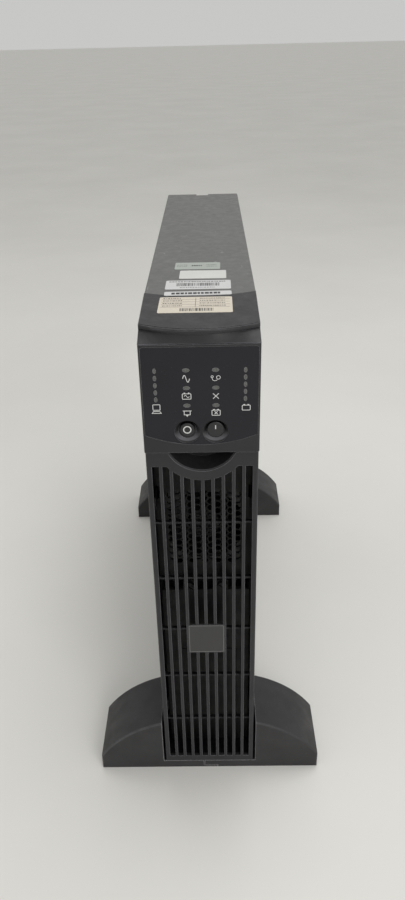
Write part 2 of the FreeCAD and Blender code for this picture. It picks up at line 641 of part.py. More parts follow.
def fan_guard():
    """Wire rings welded across two straight wires that end in screw eyes."""
    cross_y = REAR_Y + 1.0
    ring_y = cross_y + 1.4
    reach = math.hypot(*[EXHAUST_SIZE / 2 - 4.3] * 2)
    wires = []
    for angle in (45, 135):
        dx = math.cos(math.radians(angle))
        dz = math.sin(math.radians(angle))
        start = V(-dx * reach, cross_y, EXHAUST_Z - dz * reach)
        wires.append(rod(0.9, 2 * reach, start, V(dx, 0, dz)))
    for radius in (11, 20, 29, 37.5):
        wires.append(Part.makeTorus(radius, 0.9, V(0, ring_y, EXHAUST_Z), Y_AXIS))
    eyes = [rod(3.6, 2.0, V(x, REAR_Y, z)) for x, z in fan_corners(EXHAUST_SIZE, EXHAUST_Z)]
    holes = [rod(1.7, 6, V(x, REAR_Y - 1, z)) for x, z in fan_corners(EXHAUST_SIZE, EXHAUST_Z)]
    return wires[0].fuse(wires[1:] + eyes).cut(holes)


def fan_screws():
    screws = []
    y = REAR_Y + 2.0
    for x, z in fan_corners(EXHAUST_SIZE, EXHAUST_Z):
        head = rod(3.2, 2.0, V(x, y, z))
        head = round_edges(head, 0.9, rim_at(y + 2.0))
        cross = [box(x - 1.8, x + 1.8, y + 1.0, y + 3, z - 0.4, z + 0.4)]
        cross.append(box(x - 0.4, x + 0.4, y + 1.0, y + 3, z - 1.8, z + 1.8))
        shank = rod(1.5, 12, V(x, y - 12, z))
        screws.append(head.cut(cross).fuse(shank))
    return screws


# ---- electronics ----

def main_board():
    board = box(BOARD_X, BOARD_X + PCB, 96, 438, 208, 430)
    holes = [rod(1.3, 4, V(BOARD_X - 1, y, z), X_AXIS) for y, z in STANDOFFS]
    return board.cut(holes)


def board_standoffs():
    posts = []
    for y, z in STANDOFFS:
        post = rod(2.5, INNER - BOARD_X - PCB, V(BOARD_X + PCB, y, z), X_AXIS)
        screw = rod(1.2, INNER + 1.0 - BOARD_X, V(BOARD_X, y, z), X_AXIS)
        head = rod(2.4, 1.6, V(BOARD_X - 1.6, y, z), X_AXIS)
        posts.append(join([post, screw, head]))
    return posts


def heatsink(y0, y1):
    base = box(BOARD_X - 6, BOARD_X - 2, y0, y1, 348, 420)
    feet = [box(BOARD_X - 3, BOARD_X, y, y + 6, 350, 356) for y in (y0 + 4, y1 - 10)]
    fins = [box(2, BOARD_X - 5, y0, y1, 348 + i * 6, 349.6 + i * 6) for i in range(13)]
    return join([base] + feet + fins)


def power_transistors():
    devices = []
    for i in range(8):
        y = 118 + i * 26
        body = box(10, 31, y, y + 16, 343, 348)
        legs = [box(30, BOARD_X, y + 2 + k * 5.3, y + 3.2 + k * 5.3, 344.6, 345.4) for k in range(3)]
        devices.append(body.fuse(legs))
    return devices


def bus_capacitors():
    cans = []
    for y in (122, 160, 198):
        for z in (232, 272, 312):
            can = rod(17.5, 45, V(BOARD_X - 45, y, z), X_AXIS)
            can = round_edges(can, 1.5, lambda e: abs(e.BoundBox.Center.x - BOARD_X + 45) < 0.01)
            cans.append(can)
    return cans


def charger_transformer():
    core = box(0, BOARD_X - 4, 226, 274, 222, 282)
    core = core.cut([box(-1, 40, 236, 264, 229, 247), box(-1, 40, 236, 264, 257, 275)])
    coil = box(-6, BOARD_X, 238, 262, 230, 274)
    coil = round_edges(coil, 3.0, lambda e: e.BoundBox.XLength > 30)
    coil = coil.cut(box(0, BOARD_X - 4, 220, 280, 247, 257))
    return core, coil


def output_inductor():
    ring = rod(24, 20, V(BOARD_X - 24, 308, 262), X_AXIS).cut(rod(9, 22, V(BOARD_X - 25, 308, 262), X_AXIS))
    ring = round_edges(ring, 4.0, lambda e: e.BoundBox.XLength < 0.01)
    foot = box(BOARD_X - 5, BOARD_X, 286, 330, 252, 272).cut(rod(9, 30, V(BOARD_X - 25, 308, 262), X_AXIS))
    return join([ring, foot])


def relays():
    return [box(BOARD_X - 18, BOARD_X, 348 + i * 20, 364 + i * 20, 350, 378) for i in range(4)]


def emi_filter():
    can = box(BOARD_X - 34, BOARD_X, 350, 430, 384, 421)
    return round_edges(can, 2.0, lambda e: e.BoundBox.XLength > 20)


# ---- rear fittings ----

def accessory_cage():
    x0, x1, z0, z1 = SLOT_CAGE
    cage = box(x0, x1, CAGE_FRONT, REAR_Y - SHEET, z0, z1)
    return cage.cut(box(x0 + 1, x1 - 1, CAGE_FRONT + 1, REAR_Y, z0 + 1, z1 - 1))


def accessory_cover():
    x0, x1 = SLOT_CAGE[0], SLOT_CAGE[1]
    plate_y = REAR_Y + GAP
    plate = box(x0 - 1, x1 + 1, plate_y, plate_y + SHEET, THUMBSCREW_Z[0] - 5, THUMBSCREW_Z[1] + 5)
    plate = round_edges(plate, 1.5, lambda e: e.BoundBox.YLength > 1 and e.BoundBox.XLength < 0.01)
    return plate.cut([rod(1.7, 4, V(THUMBSCREW_X, REAR_Y - 1, z)) for z in THUMBSCREW_Z])


def accessory_thumbscrews():
    screws = []
    for z in THUMBSCREW_Z:
        head_y = REAR_Y + GAP + SHEET
        head = rod(4.0, REARMOST_Y - head_y, V(THUMBSCREW_X, head_y, z))
        grooves = []
        for i in range(16):
            groove = rod(0.45, 6, V(THUMBSCREW_X + 4.1, head_y + 1.2, z))
            groove.rotate(V(THUMBSCREW_X, 0, z), Y_AXIS, i * 22.5)
            grooves.append(groove)
        slot = box(THUMBSCREW_X - 5, THUMBSCREW_X + 5, REARMOST_Y - 1.2, REARMOST_Y + 1, z - 0.6, z + 0.6)
        shank = rod(1.5, 6.2, V(THUMBSCREW_X, head_y - 6.2, z))
        screws.append(head.cut(grooves + [slot]).fuse(shank))
    return screws


def serial_port():
    """Nine-way D-shaped port, standing upright, with two hexagonal posts."""
    body = box(SERIAL_X - 5.5, SERIAL_X + 5.5, REAR_Y - 9, REAR_Y, SERIAL_Z - 14.5, SERIAL_Z + 14.5)
    flange = box(SERIAL_X - 6.2, SERIAL_X + 6.2, REAR_Y, REAR_Y + 0.8, SERIAL_Z - 15.4, SERIAL_Z + 15.4)
    wide, narrow = 8.4, 7.4
    corners = [(SERIAL_X - 4.2, SERIAL_Z - wide), (SERIAL_X + 4.2, SERIAL_Z - narrow),
               (SERIAL_X + 4.2, SERIAL_Z + narrow), (SERIAL_X - 4.2, SERIAL_Z + wide)]
    shell = prism_y(corners, REAR_Y, REAR_Y + 6)
    posts = [rod(2.4, 5.0, V(SERIAL_X, REAR_Y + 0.5, SERIAL_Z + dz)) for dz in (-12.5, 12.5)]
    bores = [rod(1.3, 7, V(SERIAL_X, REAR_Y + 1, SERIAL_Z + dz)) for dz in (-12.5, 12.5)]
    for column, count in ((-1.4, 5), (1.4, 4)):
        for i in range(count):
            z = SERIAL_Z + (i - (count - 1) / 2) * 2.77
            bores.append(rod(0.55, 6, V(SERIAL_X + column, REAR_Y + 1, z)))
    return join([body, flange, shell] + posts).cut(bores)


def emergency_off_terminal():
    block = box(SERIAL_X - 5.6, SERIAL_X + 5.6, REAR_Y - 10, REAR_Y + 3, EPO_Z - 8.6, EPO_Z + 8.6)
    cuts = []
    for i in range(4):
        z = EPO_Z + (i - 1.5) * 4.0
        cuts.append(box(SERIAL_X + 0.5, SERIAL_X + 4.0, REAR_Y - 4, REAR_Y + 4, z - 1.4, z + 1.4))
        cuts.append(rod(1.3, 3, V(SERIAL_X - 2.6, REAR_Y + 1.5, z)))
    return block.cut(cuts)


def external_battery_connector():
    body = box(DC_X - 9.8, DC_X + 9.8, REAR_Y - 15, REAR_Y, DC_Z - 18.8, DC_Z + 18.8)
    flange = box(DC_X - 12, DC_X + 12, REAR_Y, REAR_Y + 3, DC_Z - 21, DC_Z + 21)
    flange = round_edges(flange, 2.0, lambda e: e.BoundBox.YLength > 2)
    wells = []
    for low in (DC_Z - 15.5, DC_Z + 1.5):
        wells.append(box(DC_X - 7, DC_X + 7, REAR_Y - 13, REAR_Y + 4, low, low + 14))
    return join([body, flange]).cut(wells)


def power_inlet():
    body = box(INLET_X - 11.8, INLET_X + 11.8, REAR_Y - 19, REAR_Y, INLET_Z - 17.8, INLET_Z + 17.8)
    flange = box(INLET_X - 14, INLET_X + 14, REAR_Y, REAR_Y + 2.5, INLET_Z - 25, INLET_Z + 25)
    flange = round_edges(flange, 4.0, lambda e: e.BoundBox.YLength > 2)
    well = box(INLET_X - 10, INLET_X + 10, REAR_Y - 17.5, REAR_Y + 3, INLET_Z - 16, INLET_Z + 16)
    screws = [rod(1.8, 2, V(INLET_X, REAR_Y + 1.5, INLET_Z + dz)) for dz in (-21, 21)]
    pins = [box(INLET_X - 4, INLET_X - 2, REAR_Y - 18, REAR_Y - 2, INLET_Z + dz - 4, INLET_Z + dz + 4)
            for dz in (-8, 8)]
    pins.append(box(INLET_X + 4, INLET_X + 6, REAR_Y - 18, REAR_Y - 2, INLET_Z - 4, INLET_Z + 4))
    return join([body, flange]).cut([well] + screws).fuse(pins)


def outlet(x, z):
    """One appliance outlet: a raised core with three slots inside a plug groove."""
    body = box(x - 13.3, x + 13.3, REAR_Y - 14, REAR_Y, z - 10.8, z + 10.8)
    flange = box(x - 15, x + 15, REAR_Y, REAR_Y + 2, z - 12.8, z + 12.8)
    flange = round_edges(flange, 1.5, lambda e: e.BoundBox.YLength > 1)
    groove = box(x - 12, x + 12, REAR_Y - 11, REAR_Y + 3, z - 8.6, z + 8.6)
    core = prism_y([(x - 9.5, z - 6.1), (x + 9.5, z - 6.1), (x + 9.5, z + 3), (x + 6, z + 6.1),
                    (x - 6, z + 6.1), (x - 9.5, z + 3)], REAR_Y - 12, REAR_Y + 1)
    slots = [box(x + dx - 1.2, x + dx + 1.2, REAR_Y - 8, REAR_Y + 2, z + dz - 2.6, z + dz + 2.6)
             for dx, dz in ((-5.6, -1), (5.6, -1), (0, 1.8))]
    return join([body, flange]).cut(groove).fuse(core).cut(slots)


def circuit_breaker():
    body = box(BREAKER_X - 9, BREAKER_X + 9, REAR_Y - 20, REAR_Y - SHEET, BREAKER_Z - 12, BREAKER_Z + 12)
    bush = rod(5.9, SHEET + 3.5, V(BREAKER_X, REAR_Y - SHEET, BREAKER_Z))
    nut = prism_y([(BREAKER_X + 8 * math.cos(math.radians(a)), BREAKER_Z + 8 * math.sin(math.radians(a)))
                   for a in range(0, 360, 60)], REAR_Y, REAR_Y + 2.2)
    bore = rod(3.8, 14, V(BREAKER_X, REAR_Y - 9, BREAKER_Z))
    return join([body, bush, nut]).cut(bore)


def breaker_reset_button():
    plunger = rod(3.5, 10.5, V(BREAKER_X, REAR_Y - 5, BREAKER_Z))
    return round_edges(plunger, 0.8, rim_at(REAR_Y + 5.5))


def ground_screw():
    washer = rod(6.0, 0.8, V(GROUND_X, REAR_Y, GROUND_Z))
    head = rod(4.2, 3.0, V(GROUND_X, REAR_Y + 0.8, GROUND_Z))
    slot = box(GROUND_X - 5, GROUND_X + 5, REAR_Y + 2.4, REAR_Y + 5, GROUND_Z - 0.6, GROUND_Z + 0.6)
    shank = rod(2.0, 9, V(GROUND_X, REAR_Y - 8, GROUND_Z))
    return join([washer, head, shank]).cut(slot)


# ---- feet and labels ----

def foot_profile(inset, y):
    """One side of a foot seen from the front: arched top, blunt outer end."""
    inner = FOOT_INNER + inset
    outer = FOOT_HALF - inset
    high = FOOT_HIGH - inset
    end = FOOT_END_HIGH - inset * 0.6
    low = -1.0 if inset else 0.0
    shoulder = V(FOOT_HALF - 17.3 - inset * 0.75, y, 37.3 - inset * 0.75)
    arch = Part.Arc(V(inner, y, high), shoulder, V(outer, y, end))
    rest = Part.makePolygon([V(outer, y, end), V(outer, y, low), V(inner, y, low), V(inner, y, high)])
    return Part.Face(Part.Wire([arch.toShape()] + rest.Edges))


def foot_block():
    outside = foot_profile(0, 0).extrude(V(0, FOOT_LONG, 0))
    outside = round_edges(outside, 1.6, lambda e: e.BoundBox.YLength < 0.01 and e.BoundBox.XLength > 30
                          and e.BoundBox.ZLength > 10)
    inside = foot_profile(FOOT_WALL, FOOT_WALL).extrude(V(0, FOOT_LONG - 2 * FOOT_WALL, 0))
    webs = [box(x - 1.2, x + 1.2, FOOT_WALL, FOOT_LONG - FOOT_WALL, 0, 70) for x in (62, 82)]
    return outside.cut(inside).fuse([web.common(inside) for web in webs])


def foot(side, y0):
    """One half of a foot. The left half's low tongue runs under the right half."""
    block = foot_block()
    if side < 0:
        block = block.mirror(V(0, 0, 0), X_AXIS)
        sill = box(-FOOT_INNER - 1, LAP_LEFT - LAP_GAP, 0, FOOT_LONG, 0, FOOT_BASE)
        tongue = box(LAP_LEFT - 1, LAP_RIGHT - LAP_GAP, 0, FOOT_LONG, 0, LAP_Z)
    else:
        sill = box(LAP_RIGHT, FOOT_INNER + 1, 0, FOOT_LONG, 0, FOOT_BASE)
        tongue = box(LAP_LEFT, LAP_RIGHT + 1, 0, FOOT_LONG, LAP_Z + LAP_GAP, FOOT_BASE)
    half = join([block, sill, tongue])
    half.translate(V(0, y0, 0))
    return half


def top_labels():
    labels = []
    for x0, x1, y0, y1, skew in LABELS:
        label = box(x0, x1, y0, y1, TOP, TOP + LABEL_THICK)
        label = round_edges(label, 1.5, lambda e: e.BoundBox.ZLength > 0.1)
        label.rotate(V((x0 + x1) / 2, (y0 + y1) / 2, TOP), Z_AXIS, skew)
        labels.append(label)
    return labels


def build():
    os.makedirs("parts", exist_ok=True)
    save("outer_cover", outer_cover())
    save("chassis_tray", chassis_tray())
    save("rear_panel", rear_panel())
    save("cover_screws", *cover_screws())
    save("front_frame", front_frame())
    save("grille_bezel", grille_bezel())
    save("badge_plate", badge_plate())
    save("control_panel_housing", control_panel_housing())
    save("panel_membrane", panel_membrane())
    save("level_lights", *column_lights(0, PANEL_Y, BOARD_Y))
    save("status_lights", *status_lights(0, PANEL_Y, BOARD_Y))
    save("off_button", button(OFF_X, OFF_R))
    save("on_button", button(ON_X, ON_R))
    save("display_board", display_board())
    save("display_board_screws", *board_screws())
    save("panel_switches", *panel_switches())
    save("front_bulkhead", front_bulkhead())
    save("battery_door", battery_door())
    save("door_screws", *door_screws())
    for name, z in (("lower", LOWER_Z), ("upper", UPPER_Z)):
        save(name + "_cartridge_tray", cartridge_tray(z))
        save(name + "_cartridge_blocks", *cartridge_blocks(z))
        save(name + "_cartridge_handle", cartridge_handle(z))
        save(name + "_cartridge_plug", cartridge_plug(z))
    save("battery_sockets", *battery_sockets())
    save("bay_shelves", *bay_shelves())
    save("intake_fan_frame", fan_frame(INTAKE_SIZE, BULKHEAD_Y + SHEET, INTAKE_Z))
    save("intake_fan_rotor", fan_rotor(INTAKE_SIZE, BULKHEAD_Y + SHEET, INTAKE_Z))
    save("exhaust_fan_frame", fan_frame(EXHAUST_SIZE, EXHAUST_Y, EXHAUST_Z))
    save("exhaust_fan_rotor", fan_rotor(EXHAUST_SIZE, EXHAUST_Y, EXHAUST_Z))
    save("fan_guard", fan_guard())
    save("fan_screws", *fan_screws())
    save("main_board", main_board())
    save("board_standoffs", *board_standoffs())
    save("heatsinks", heatsink(110, 212), heatsink(218, 330))
    save("power_transistors", *power_transistors())
    save("bus_capacitors", *bus_capacitors())
    save("charger_transformer", *charger_transformer())
    save("output_inductor", output_inductor())
    save("relays", *relays())
    save("emi_filter", emi_filter())
    save("accessory_cage", accessory_cage())
    save("accessory_cover", accessory_cover())
    save("accessory_thumbscrews", *accessory_thumbscrews())
    save("serial_port", serial_port())
    save("emergency_off_terminal", emergency_off_terminal())
    save("external_battery_connector", external_battery_connector())
    save("power_inlet", power_inlet())
    save("output_outlets", *[outlet(x, z) for x in OUTLET_X for z in OUTLET_Z])
    save("circuit_breaker", circuit_breaker())
    save("breaker_reset_button", breaker_reset_button())
    save("ground_screw", ground_screw())
    for name, y0 in (("front", 0.0), ("rear", REAR_FOOT_Y)):
        save(name + "_left_foot", foot(-1, y0))
        save(name + "_right_foot", foot(1, y0))
    save("top_labels", *top_labels())


build()
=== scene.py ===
import json
import math
import random

import bmesh
import bpy
from mathutils import Matrix, Vector


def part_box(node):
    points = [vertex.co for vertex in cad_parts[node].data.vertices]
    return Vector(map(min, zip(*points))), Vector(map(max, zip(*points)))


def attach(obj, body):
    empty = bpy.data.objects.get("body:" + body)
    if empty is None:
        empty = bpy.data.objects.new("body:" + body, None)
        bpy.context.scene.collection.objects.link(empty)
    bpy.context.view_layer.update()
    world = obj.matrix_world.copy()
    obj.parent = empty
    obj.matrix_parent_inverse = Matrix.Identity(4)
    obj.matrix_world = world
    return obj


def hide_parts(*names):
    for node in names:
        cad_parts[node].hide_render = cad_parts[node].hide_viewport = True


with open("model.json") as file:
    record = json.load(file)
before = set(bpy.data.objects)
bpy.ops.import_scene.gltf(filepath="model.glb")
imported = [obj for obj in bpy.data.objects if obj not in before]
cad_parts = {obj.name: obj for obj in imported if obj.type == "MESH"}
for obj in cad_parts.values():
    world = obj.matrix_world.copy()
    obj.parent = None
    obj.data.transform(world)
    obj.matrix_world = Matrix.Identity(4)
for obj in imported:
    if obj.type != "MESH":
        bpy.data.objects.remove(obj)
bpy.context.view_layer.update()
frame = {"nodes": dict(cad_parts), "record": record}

# Rack/tower uninterruptible power supply, standing in its feet: materials, printed marks,
# stickers, floor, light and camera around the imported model. Lengths below are millimetres
# unless a name says otherwise; the frame itself is in metres.
MM = 0.001

PRINT = 0.05                # thickness of a printed mark
PROUD = 0.7                 # share of that thickness that stands out of the face it is printed on
STROKE = 0.5                # width of the lines in the panel's symbols
STICKER = 0.15              # thickness of a sticker
STICKER_INK = (-0.01, 0.04)     # lower and upper side of the print, from the sticker's face
GRILLE_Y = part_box("grille_bezel")[0].y / MM     # depths below count from the grille's front plane

LENS_MM = 29.303
SENSOR_MM = 36.0
CAMERA_PLACE = (8.614, GRILLE_Y - 462.553, 610.270)
CAMERA_YAW = math.radians(-1.010)
CAMERA_PITCH = math.radians(29.477)
CAMERA_ROLL = math.radians(-1.402)

FLOOR_HALF_M = 60.0
FLOOR_DARK = (0.74, 0.73, 0.69)
FLOOR_PALE = (0.79, 0.78, 0.74)


# ---- small mesh builders ----

def printed_on(front):
    """Marks on a face that looks to the front, at this depth in the frame: (u, v) are x and z."""
    outer = front - PROUD * PRINT * MM
    inner = front + (1.0 - PROUD) * PRINT * MM

    def place(u, v, high):
        return Vector((u * MM, outer if high else inner, v * MM))
    return place


def flat(centre_x, centre_y, skew, z_low, z_high):
    """Marks drawn on a level face, turned by skew degrees about the centre: (u, v) start there."""
    turn = math.radians(skew)

    def place(u, v, high):
        x = centre_x * MM + (u * math.cos(turn) - v * math.sin(turn)) * MM
        y = centre_y * MM + (u * math.sin(turn) + v * math.cos(turn)) * MM
        return Vector((x, y, z_high if high else z_low))
    return place


def add_slab(bm, outline, place, material=0):
    """A thin closed plate with the given outline."""
    lows = [bm.verts.new(place(u, v, False)) for u, v in outline]
    highs = [bm.verts.new(place(u, v, True)) for u, v in outline]
    count = len(outline)
    faces = [bm.faces.new(lows), bm.faces.new(highs)]
    for i in range(count):
        j = (i + 1) % count
        faces.append(bm.faces.new((lows[i], lows[j], highs[j], highs[i])))
    for face in faces:
        face.material_index = material


def bar(bm, place, u0, u1, v0, v1):
    add_slab(bm, [(u0, v0), (u1, v0), (u1, v1), (u0, v1)], place)


def side_points(points, width, closed):
    """Left and right edges of a line of the given width, with mitred corners."""
    count = len(points)
    lefts = []
    rights = []
    for i, point in enumerate(points):
        here = Vector(point)
        normals = []
        if closed or i > 0:
            step = here - Vector(points[i - 1])
            normals.append(Vector((-step.y, step.x)).normalized())
        if closed or i < count - 1:
            step = Vector(points[(i + 1) % count]) - here
            normals.append(Vector((-step.y, step.x)).normalized())
        middle = (normals[0] + normals[-1]).normalized()
        reach = min(2.0, 1.0 / max(0.3, middle.dot(normals[0])))
        lefts.append(here + middle * width * 0.5 * reach)
        rights.append(here - middle * width * 0.5 * reach)
    return lefts, rights


def add_stroke(bm, points, width, place, closed=False):
    """A line of constant width as one closed strip."""
    lefts, rights = side_points(points, width, closed)
    rings = []
    for left, right in zip(lefts, rights):
        corners = [place(*left, False), place(*right, False), place(*right, True), place(*left, True)]
        rings.append([bm.verts.new(corner) for corner in corners])
    pairs = list(zip(rings, rings[1:]))
    if closed:
        pairs.append((rings[-1], rings[0]))
    for a, b in pairs:
        for k in range(4):
            m = (k + 1) % 4
            bm.faces.new((a[k], a[m], b[m], b[k]))
    if not closed:
        bm.faces.new(rings[0])
        bm.faces.new(rings[-1])


def oval(cx, cz, half_x, half_z, count):
    angles = [2 * math.pi * i / count for i in range(count)]
    return [(cx + half_x * math.cos(a), cz + half_z * math.sin(a)) for a in angles]


def circle(cx, cz, radius, count):
    return oval(cx, cz, radius, radius, count)


def rounded(cx, cz, half_x, half_z, radius, steps=4):
    """Outline of a rectangle with rounded corners."""
    points = []
    for sx, sz, start in ((1, 1, 0), (-1, 1, 90), (-1, -1, 180), (1, -1, 270)):
        x = cx + sx * (half_x - radius)
        z = cz + sz * (half_z - radius)
        for i in range(steps + 1):
            a = math.radians(start + 90 * i / steps)
            points.append((x + radius * math.cos(a), z + radius * math.sin(a)))
    return points


def piece(name, bm, body, slot, *materials):
    """Makes the mesh an object that rides on a body and wears the given materials."""
    bmesh.ops.recalc_face_normals(bm, faces=bm.faces)
    mesh = bpy.data.meshes.new(name)
    bm.to_mesh(mesh)
    bm.free()
    for material in materials:
        mesh.materials.append(material)
    made = bpy.data.objects.new(name, mesh)
    bpy.context.scene.collection.objects.link(made)
    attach(made, body)
    return made


# ---- procedural materials ----

class Surface:
    """One node material. Textures follow the piece, because they use its object coordinates."""

    def __init__(self, name, roughness, metallic=0.0, specular=0.5):
        self.material = bpy.data.materials.new(name)
        self.material.use_nodes = True
        self.tree = self.material.node_tree
        self.shader = self.tree.nodes["Principled BSDF"]
        self.shader.inputs["Roughness"].default_value = roughness
        self.shader.inputs["Metallic"].default_value = metallic
        self.shader.inputs["Specular IOR Level"].default_value = specular
        self.coords = self.add("ShaderNodeTexCoord").outputs["Object"]
        self.softened = None

    def add(self, kind, **settings):
        node = self.tree.nodes.new(kind)
        for key, value in settings.items():
            setattr(node, key, value)
        return node

    def link(self, source, target):
        self.tree.links.new(source, target)

    def stretched(self, scale):
        mapping = self.add("ShaderNodeMapping")
        mapping.inputs["Scale"].default_value = scale
        self.link(self.coords, mapping.inputs["Vector"])
        return mapping.outputs["Vector"]

    def noise(self, size_mm, detail=3.0, stretch=(1, 1, 1)):
        """Cloudy texture from 0 to 1 whose blotches are about size_mm across."""
        node = self.add("ShaderNodeTexNoise")
        node.inputs["Scale"].default_value = 1000.0 / size_mm
        node.inputs["Detail"].default_value = detail
        self.link(self.stretched(stretch), node.inputs["Vector"])
        return node.outputs["Fac"]

    def cells(self, size_mm, feature="F1", stretch=(1, 1, 1)):
        node = self.add("ShaderNodeTexVoronoi", feature=feature)
        node.inputs["Scale"].default_value = 1000.0 / size_mm
        self.link(self.stretched(stretch), node.inputs["Vector"])
        return node.outputs["Distance"]

    def bands(self, pitch_mm, axis="Z", distort=0.0):
        node = self.add("ShaderNodeTexWave", bands_direction=axis)
        node.inputs["Scale"].default_value = 1000.0 * math.pi / (pitch_mm * 10.0)
        node.inputs["Distortion"].default_value = distort
        self.link(self.coords, node.inputs["Vector"])
        return node.outputs["Fac"]

    def remap(self, value, low, high, to_low=0.0, to_high=1.0):
        node = self.add("ShaderNodeMapRange")
        node.inputs["From Min"].default_value = low
        node.inputs["From Max"].default_value = high
        node.inputs["To Min"].default_value = to_low
        node.inputs["To Max"].default_value = to_high
        self.link(value, node.inputs["Value"])
        return node.outputs["Result"]

    def math(self, kind, a, b):
        node = self.add("ShaderNodeMath", operation=kind)
        for socket, value in zip(node.inputs, (a, b)):
            if isinstance(value, (int, float)):
                socket.default_value = value
            else:
                self.link(value, socket)
        return node.outputs["Value"]

    def mix(self, factor, first, second):
        """Colour between first and second; each is a colour tuple or a socket."""
        node = self.add("ShaderNodeMix", data_type="RGBA")
        self.link(factor, node.inputs[0])
        for socket, value in ((node.inputs[6], first), (node.inputs[7], second)):
            if isinstance(value, tuple):
                socket.default_value = (*value, 1.0)
            else:
                self.link(value, socket)
        return node.outputs[2]

    def times(self, a, b):
        return self.math("MULTIPLY", a, b)

    def upward(self, low=0.55, high=0.95):
        """1 on faces that look up, 0 on undersides; low and high are heights of the normal."""
        node = self.add("ShaderNodeSeparateXYZ")
        self.link(self.add("ShaderNodeNewGeometry").outputs["Normal"], node.inputs[0])
        return self.remap(node.outputs["Z"], low, high)

    def edges(self, radius_mm):
        """1 near sharp edges, where handling wears the surface and where a highlight gets painted. Relief
        then also rounds them.
        """
        bevel = self.add("ShaderNodeBevel", samples=4)
        bevel.inputs["Radius"].default_value = radius_mm * MM
        dot = self.add("ShaderNodeVectorMath", operation="DOT_PRODUCT")
        self.softened = bevel.outputs["Normal"]
        self.link(self.softened, dot.inputs[0])
        self.link(self.add("ShaderNodeNewGeometry").outputs["Normal"], dot.inputs[1])
        return self.remap(dot.outputs["Value"], 0.999, 0.88)

    def open_air(self, reach_mm):
        """1 where the surface lies open, towards 0 in grooves and in seams between pieces; it sets where
        shade gets painted.
        """
        node = self.add("ShaderNodeAmbientOcclusion", samples=8)
        node.inputs["Distance"].default_value = reach_mm * MM
        return self.remap(node.outputs["AO"], 0.35, 0.85)

    def near(self, x, depth, z, inner_mm, outer_mm):
        """1 within inner_mm of a place on the piece, 0 beyond outer_mm; depth is in the frame."""
        away = self.add("ShaderNodeVectorMath", operation="DISTANCE")
        away.inputs[1].default_value = (x * MM, depth, z * MM)
        self.link(self.coords, away.inputs[0])
        return self.remap(away.outputs["Value"], outer_mm * MM, inner_mm * MM)

    def colour(self, value):
        self.link(value, self.shader.inputs["Base Color"])

    def roughness(self, value):
        self.link(value, self.shader.inputs["Roughness"])

    def relief(self, height, depth_mm, strength=0.5):
        bump = self.add("ShaderNodeBump")
        bump.inputs["Strength"].default_value = strength
        bump.inputs["Distance"].default_value = depth_mm * MM
        self.link(height, bump.inputs["Height"])
        if self.softened:
            self.link(self.softened, bump.inputs["Normal"])
        self.link(bump.outputs["Normal"], self.shader.inputs["Normal"])


def shade(colour, factor):
    return tuple(min(1.0, channel * factor) for channel in colour)


DUST = (0.30, 0.295, 0.275)
BARE_SCRATCH = (0.5, 0.5, 0.48)

# moulded plastic: how much paler or darker than its own colour it gets
CREVICE_SHADE = 0.25        # painted shade down in grooves and seams
EDGE_WEAR_AND_HIGHLIGHT_SHADE = 11.0           # painted highlight, partly also wear, on the edges
DISH_HIGHLIGHT_SHADE = 6.5         # painted highlight in the dishes round the buttons
CREVICE_REACH = 2.5         # how far away a wall still paints shade into a groove
HOLLOW_INNER, HOLLOW_OUTER = 9.4, 9.9       # radii between which the painted highlight round a button fades out
WORN_POLISH = 0.6           # share of its roughness that a rubbed edge loses


def powder_coat(name, colour, dust=0.2, scratched=0.0):
    """Fine-textured paint on sheet metal, with dust where it faces up and short pale scratches."""
    made = Surface(name, 0.5)
    blotches = made.noise(46, 4)
    base = made.mix(made.remap(blotches, 0.3, 0.7), shade(colour, 0.97), shade(colour, 1.03))
    dusty = made.times(made.upward(), made.remap(made.noise(9, 5), 0.3, 0.9, 0.0, dust))
    base = made.mix(dusty, base, DUST)
    if scratched:
        thin = made.remap(made.cells(26, "DISTANCE_TO_EDGE", (1.0, 0.22, 1.0)), 0.010, 0.0)
        broken = made.remap(made.noise(17, 2), 0.60, 0.68)
        marks = made.times(made.times(thin, broken), scratched)
        marks = made.times(marks, made.upward())
        base = made.mix(marks, base, BARE_SCRATCH)
    made.colour(base)
    made.roughness(made.remap(made.noise(6, 4), 0.3, 0.7, 0.42, 0.62))
    made.relief(made.noise(0.9, 2), 0.06, 0.45)
    return made.material


